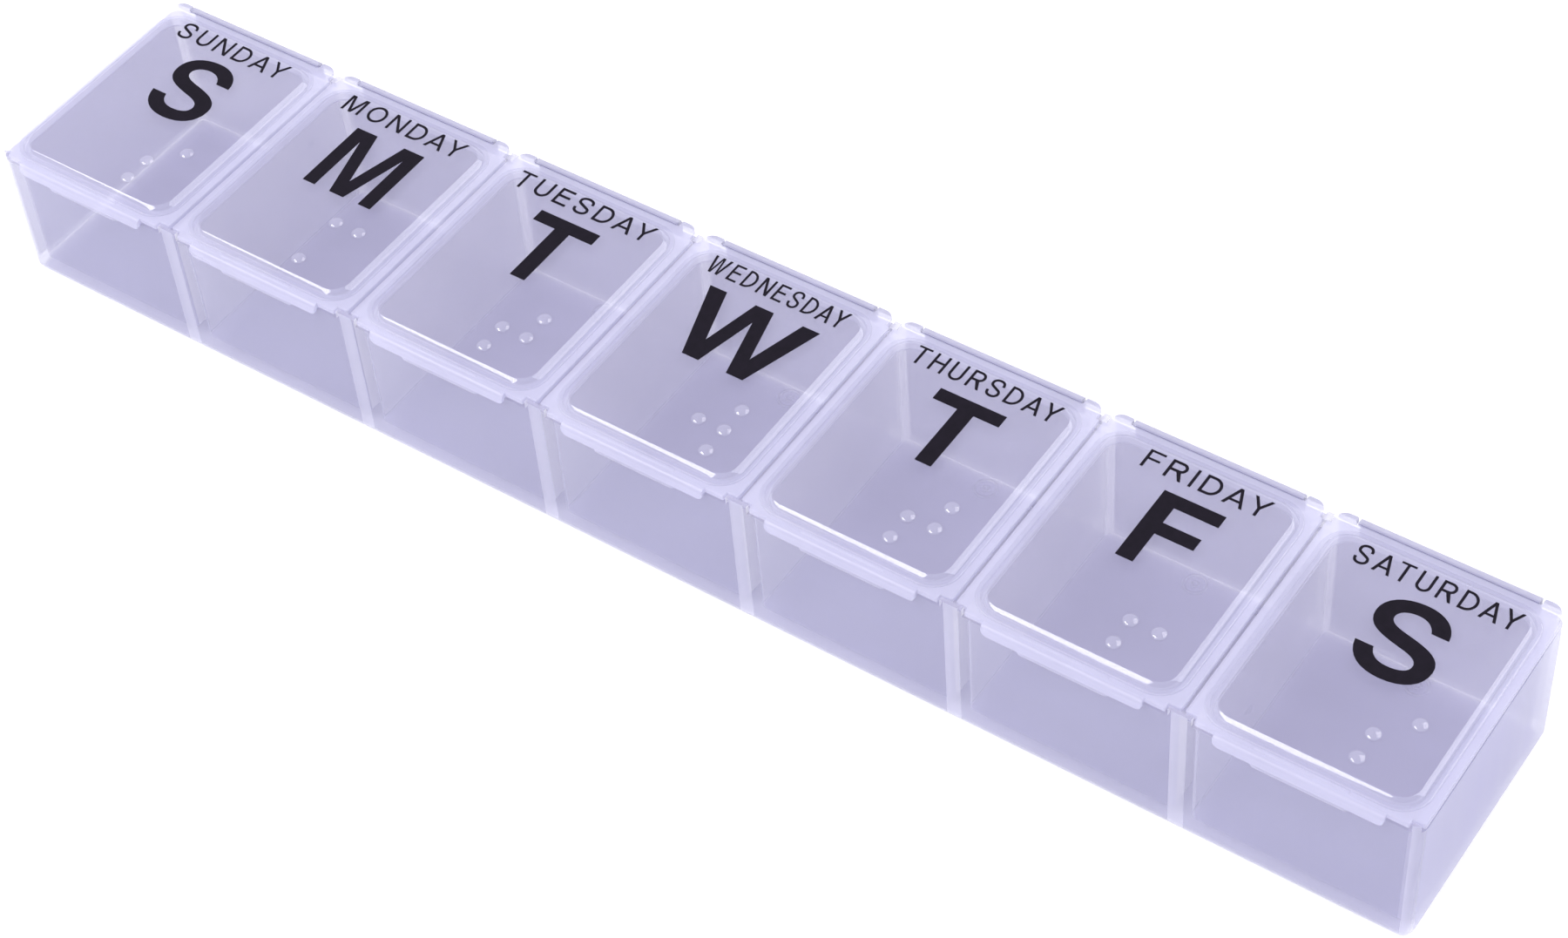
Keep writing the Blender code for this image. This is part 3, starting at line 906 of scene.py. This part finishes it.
def make_print(day, x):
    """The day's name and initial as one very thin layer of ink on the raised panel."""
    aside, back = PRINT_SHIFT.get(day, (0.0, 0.0))
    letters = name_letters(day.upper())
    squeeze = 1.0
    if len(day) > SHORT_NAME_LETTERS:
        squeeze = LONG_NAME / (sum(width + gap for _, width, gap in letters) * NAME_CAP)
    name_stroke = NAME_STROKE * math.sqrt(squeeze)
    outlines = printed_outlines(letters, aside, squeeze, NAME_CAP, NAME_BASE + back, name_stroke)
    shape, width, stroke = INITIALS[day[0].upper()]
    outlines += printed_outlines(
        [(shape, width, 0.0)], aside + INITIAL_ASIDE, 1.0, INITIAL_CAP, INITIAL_BASE + back, stroke
    )
    curve = bpy.data.curves.new("print", "CURVE")
    curve.dimensions = "2D"
    curve.fill_mode = "BOTH"
    curve.extrude = INK / 2
    for outline in outlines:
        spline = curve.splines.new("POLY")
        spline.points.add(len(outline) - 1)
        for point, (px, py) in zip(spline.points, outline):
            point.co = (px, py, 0.0, 1.0)
        spline.use_cyclic_u = True
    drawn = bpy.data.objects.new("print", curve)
    bpy.context.scene.collection.objects.link(drawn)
    evaluated = drawn.evaluated_get(bpy.context.evaluated_depsgraph_get())
    mesh = bpy.data.meshes.new_from_object(evaluated)
    bpy.data.objects.remove(drawn, do_unlink=True)
    mesh.transform(Matrix.Translation((x, 0.0, PANEL_TOP + INK)))
    ink = bpy.data.objects.new(f"print_{day}", mesh)
    bpy.context.scene.collection.objects.link(ink)
    return ink


# ---------------------------------------------------------------- materials

def node(tree, kind, inputs=None, **settings):
    """Add a shader node, set its properties, and set or link its inputs."""
    made = tree.nodes.new(kind)
    for key, value in settings.items():
        setattr(made, key, value)
    for key, value in (inputs or {}).items():
        if isinstance(value, bpy.types.NodeSocket):
            tree.links.new(value, made.inputs[key])
        else:
            made.inputs[key].default_value = value
    return made


CLOUDS = (0.4, 1.0, 1.0)             # how the tint's clouds are stretched: along the tray
STREAKS = (1.0, 1.0, 0.12)           # or into upright flow lines, on the end walls
CLOUD_SCALE = 260.0
TINT_SPREAD = 0.07                   # how far the tint strays either way from its colour
GLOSS_SPREAD = 0.5                   # how far the roughness does, at the clouds' extremes
GRAIN_SCALE = 1900.0
GRAIN_STRENGTH = 0.05                # of the roughness
GRAIN_DEPTH = 0.006 * MM
INK_SCALE = 1500.0
INK_DEPTH = 0.01 * MM


def frosted_plastic(name, colour, alpha, roughness, specular=0.8, ior=1.49, stretch=CLOUDS):
    """Translucent polypropylene: a cloudy tint, uneven gloss and a fine moulded grain."""
    material = bpy.data.materials.new(name)
    material.use_nodes = True
    tree = material.node_tree
    shader = tree.nodes["Principled BSDF"]
    place = node(tree, "ShaderNodeTexCoord").outputs["Object"]
    drawn_out = node(tree, "ShaderNodeMapping", {"Vector": place, "Scale": stretch})
    cloud = node(
        tree, "ShaderNodeTexNoise",
        {"Vector": drawn_out.outputs["Vector"], "Scale": CLOUD_SCALE, "Detail": 2.0},
    )
    tint = node(
        tree, "ShaderNodeMix",
        {
            "Factor": cloud.outputs["Fac"],
            "A": (*((1 - TINT_SPREAD) * channel for channel in colour), 1.0),
            "B": (*(min((1 + TINT_SPREAD) * channel, 1.0) for channel in colour), 1.0),
        },
        data_type="RGBA",
    )
    gloss = node(
        tree, "ShaderNodeMapRange",
        {
            "Value": cloud.outputs["Fac"],
            "To Min": roughness * (1 - GLOSS_SPREAD), "To Max": roughness * (1 + GLOSS_SPREAD),
        },
    )
    fine = node(tree, "ShaderNodeTexNoise", {"Vector": place, "Scale": GRAIN_SCALE, "Detail": 0.0})
    bump = node(
        tree, "ShaderNodeBump",
        {
            "Height": fine.outputs["Fac"],
            "Strength": roughness * GRAIN_STRENGTH, "Distance": GRAIN_DEPTH,
        },
    )
    tree.links.new(tint.outputs["Result"], shader.inputs["Base Color"])
    tree.links.new(gloss.outputs["Result"], shader.inputs["Roughness"])
    tree.links.new(bump.outputs["Normal"], shader.inputs["Normal"])
    shader.inputs["Alpha"].default_value = alpha
    shader.inputs["IOR"].default_value = ior
    shader.inputs["Specular IOR Level"].default_value = specular
    return material


def print_ink():
    """Slightly uneven black printing ink."""
    material = bpy.data.materials.new("print_ink")
    material.use_nodes = True
    tree = material.node_tree
    shader = tree.nodes["Principled BSDF"]
    place = node(tree, "ShaderNodeTexCoord").outputs["Object"]
    spots = node(tree, "ShaderNodeTexNoise", {"Vector": place, "Scale": INK_SCALE, "Detail": 3.0})
    tint = node(
        tree, "ShaderNodeMix",
        {"Factor": spots.outputs["Fac"], "A": (0.007, 0.006, 0.010, 1.0), "B": (0.013, 0.010, 0.018, 1.0)},
        data_type="RGBA",
    )
    gloss = node(
        tree, "ShaderNodeMapRange", {"Value": spots.outputs["Fac"], "To Min": 0.4, "To Max": 0.6}
    )
    bump = node(
        tree, "ShaderNodeBump", {"Height": spots.outputs["Fac"], "Strength": 0.15, "Distance": INK_DEPTH}
    )
    tree.links.new(tint.outputs["Result"], shader.inputs["Base Color"])
    tree.links.new(gloss.outputs["Result"], shader.inputs["Roughness"])
    tree.links.new(bump.outputs["Normal"], shader.inputs["Normal"])
    shader.inputs["Specular IOR Level"].default_value = 0.06
    return material


def plain_matte(name, colour, roughness, glow):
    """Even matte finish; its slight glow keeps the stage floor white under the object."""
    material = bpy.data.materials.new(name)
    material.use_nodes = True
    shader = material.node_tree.nodes["Principled BSDF"]
    shader.inputs["Base Color"].default_value = (*colour, 1.0)
    shader.inputs["Roughness"].default_value = roughness
    shader.inputs["Emission Color"].default_value = (*colour, 1.0)
    shader.inputs["Emission Strength"].default_value = glow
    return material


def paint(piece, materials, choose):
    """Give each face the material that choose names for it."""
    names = list(materials)
    for name in names:
        piece.data.materials.append(materials[name])
    for face in piece.data.polygons:
        face.material_index = names.index(choose(face.center, face.normal))


SQUARE = 0.985                       # cosine below which a face counts as slanted
LEVEL = 0.98                         # and above which it counts as facing along one axis


def is_slanted(normal):
    """True on roundings and bevels, which face neither along an axis nor nearly so."""
    return max(abs(part) for part in normal) < SQUARE


def lid_surface(centre, normal):
    # Braille domes take the lighter dome plastic, partly painted light.
    if centre.z > PANEL_TOP + NUDGE / 4:
        return "dome"
    # The back strip over the hinge takes the darker hinge plastic, a painted shade.
    if centre.y > BACK_Y - NUDGE:
        return "overhang"
    if abs(normal.z) > LEVEL and abs(centre.z - PANEL_TOP) < NUDGE:
        return "panel"
    if normal.z < -LEVEL and abs(centre.z - (PANEL_TOP - PANEL_SKIN)) < NUDGE:
        return "panel"
    # Faces of the bevel and step round the panel take the bevel plastic, partly a painted highlight.
    if centre.z > RING_TOP - GROOVE / 4 and normal.z > 0:
        return "bevel"
    return "edge" if is_slanted(normal) else "border"


def tray_surface(centre, normal):
    # Roundings and slanted faces take the lighter edge plastic, a painted highlight along the edges.
    if is_slanted(normal):
        return "edge"
    # Low level faces take the lighter floor plastic, painted light against the shade inside the tray; higher
    # ones are rims.
    if abs(normal.z) > LEVEL:
        return "floor" if centre.z < FLOOR + NUDGE else "rim"
    from_divider = abs((centre.x / PITCH) % 1.0 - 0.5) * PITCH
    if abs(normal.y) > LEVEL:
        # Outer front and back faces over a divider take a lighter band: painted light standing in for light
        # carried through the divider behind.
        if from_divider < DIVIDER / 2 and abs(centre.y) > BACK_Y - NUDGE:
            return "band"
        # Faces on the front half take the darker front plastic, a painted shade; those on the back half take
        # the plain wall plastic.
        return "front" if centre.y < 0 else "wall"
    if abs(centre.x) > HALF_LENGTH - NUDGE:
        return "end"
    # Divider faces take a much lighter copy of the wall plastic: painted light, as if lit from the right.
    return "divider" if abs(centre.x) < HALF_LENGTH - 2 * WALL else "wall"


# ---------------------------------------------------------------- studio

CAMERA_AZIMUTH = 38.37
CAMERA_ELEVATION = 47.89
CAMERA_ROLL = -5.30
CAMERA_DISTANCE = 272.9 * MM
CAMERA_LENS = 76.45
CAMERA_TARGET = Vector((7.47, -2.02, 7.5)) * MM


def make_camera():
    azimuth = math.radians(CAMERA_AZIMUTH)
    elevation = math.radians(CAMERA_ELEVATION)
    back = Vector((
        math.sin(azimuth) * math.cos(elevation),
        -math.cos(azimuth) * math.cos(elevation),
        math.sin(elevation),
    ))
    camera = bpy.data.objects.new("camera", bpy.data.cameras.new("camera"))
    bpy.context.scene.collection.objects.link(camera)
    turn = (-back).to_track_quat("-Z", "Y").to_matrix() @ Matrix.Rotation(math.radians(CAMERA_ROLL), 3, "Z")
    camera.matrix_world = Matrix.Translation(CAMERA_TARGET + back * CAMERA_DISTANCE) @ turn.to_4x4()
    camera.data.lens = CAMERA_LENS
    camera.data.clip_start = 0.01
    camera.data.clip_end = 20.0
    bpy.context.scene.camera = camera


def softbox(name, azimuth, elevation, distance, width, height, power):
    """A rectangular area light that looks at the object from a given direction."""
    light = bpy.data.lights.new(name, "AREA")
    light.shape = "RECTANGLE"
    light.size = width
    light.size_y = height
    light.energy = power
    lamp = bpy.data.objects.new(name, light)
    bpy.context.scene.collection.objects.link(lamp)
    a = math.radians(azimuth)
    e = math.radians(elevation)
    back = Vector((math.sin(a) * math.cos(e), -math.cos(a) * math.cos(e), math.sin(e)))
    lamp.location = back * distance
    lamp.rotation_euler = (-back).to_track_quat("-Z", "Y").to_euler()


def make_studio():
    world = bpy.data.worlds.new("studio")
    world.use_nodes = True
    background = world.node_tree.nodes["Background"]
    background.inputs["Color"].default_value = (0.98, 0.98, 1.0, 1.0)
    background.inputs["Strength"].default_value = 0.8
    bpy.context.scene.world = world
    bpy.context.scene.view_settings.view_transform = "Standard"
    softbox("key_light", azimuth=-41, elevation=49, distance=0.9, width=0.72, height=0.34, power=5.6)
    softbox("side_light", azimuth=136, elevation=41, distance=0.9, width=0.9, height=0.8, power=4.8)
    bm = bmesh.new()
    bmesh.ops.create_grid(bm, x_segments=1, y_segments=1, size=4.0)
    floor = make_piece("floor", bm)
    floor.location.z = -NUDGE
    floor.data.materials.append(plain_matte("floor_white", (0.93, 0.93, 0.94), 0.6, 0.08))


# ---------------------------------------------------------------- assembly

def assemble():
    # Painted shade: the hinge webs and the lids' back strips are a darker copy of the plastic, standing in
    # for the shade along the back.
    web_plastic = frosted_plastic("hinge_polypropylene", (0.40, 0.39, 0.56), 0.62, 0.37)
    tray_plastics = {
        # Painted shade: the front faces are a darker, clearer copy of the wall plastic, toned down against
        # the key light that falls on them.
        "front": frosted_plastic("front_polypropylene", (0.43, 0.42, 0.61), 0.36, 0.37),
        "wall": frosted_plastic("wall_polypropylene", (0.50, 0.49, 0.68), 0.55, 0.37),
        "end": frosted_plastic(
            "end_polypropylene", (0.49, 0.48, 0.69), 0.62, 0.4, stretch=STREAKS
        ),
        # Painted light: the floors are a lighter copy of the wall plastic, brightened against the shade that
        # falls inside the closed tray.
        "floor": frosted_plastic("floor_painted_light_polypropylene", (0.60, 0.585, 0.81), 0.5, 0.37),
        # Painted light: the dividers are a much lighter copy of the wall plastic, standing in for light
        # falling on them from the right.
        "divider": frosted_plastic("divider_painted_light_polypropylene", (0.92, 0.91, 1.0), 0.63, 0.37),
        "rim": frosted_plastic("rim_polypropylene", (0.46, 0.445, 0.61), 0.4, 0.37),
        # Painted light: a lighter strip on the outer front and back faces over each divider, standing in for
        # light carried through the divider behind the wall.
        "band": frosted_plastic("band_painted_light_polypropylene", (0.76, 0.75, 0.94), 0.32, 0.37),
        # Painted highlight: the tray's roundings and slanted faces are a lighter, glossier copy, standing in
        # for light caught along its edges.
        "edge": frosted_plastic("tray_edge_painted_highlight_polypropylene", (0.70, 0.69, 0.88), 0.36, 0.19),
    }
    lid_plastics = {
        "panel": frosted_plastic("panel_polypropylene", (0.39, 0.375, 0.55), 0.34, 0.1, 1.0),
        # Partly painted light: the braille domes are a lighter copy of the panel plastic, standing in for
        # the light they gather; their small highlights are the lamps' reflections, raised by the higher IOR.
        "dome": frosted_plastic("dome_painted_light_polypropylene", (0.55, 0.535, 0.73), 0.39, 0.09, 1.0, 1.9),
        "border": frosted_plastic("border_polypropylene", (0.68, 0.67, 0.88), 0.36, 0.18),
        "edge": frosted_plastic("lid_edge_polypropylene", (0.68, 0.67, 0.87), 0.36, 0.18),
        # Partly painted highlight: the bevel is a lighter copy of the panel plastic, which paints part of
        # its bright line; the rest is the lamps' reflection, raised by the higher IOR.
        "bevel": frosted_plastic("bevel_painted_highlight_polypropylene", (0.52, 0.51, 0.72), 0.42, 0.12, 1.0, 1.75),
        "overhang": web_plastic,
    }
    ink_black = print_ink()

    tray = make_tray()
    paint(tray, tray_plastics, tray_surface)
    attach(tray, "tray")
    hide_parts("tray")

    blank = make_blank_lid()
    for day, x in zip(DAYS, CENTRES):
        lid = make_lid(blank, day, x)
        paint(lid, lid_plastics, lid_surface)
        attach(lid, f"lid_{day}")
        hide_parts(f"lid_{day}")

        web = make_web(day, x)
        web.data.materials.append(web_plastic)
        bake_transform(web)
        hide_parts(f"hinge_{day}")

        ink = make_print(day, x)
        ink.data.materials.append(ink_black)
        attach(ink, f"lid_{day}")
    bpy.data.objects.remove(blank, do_unlink=True)


make_camera()
make_studio()
assemble()
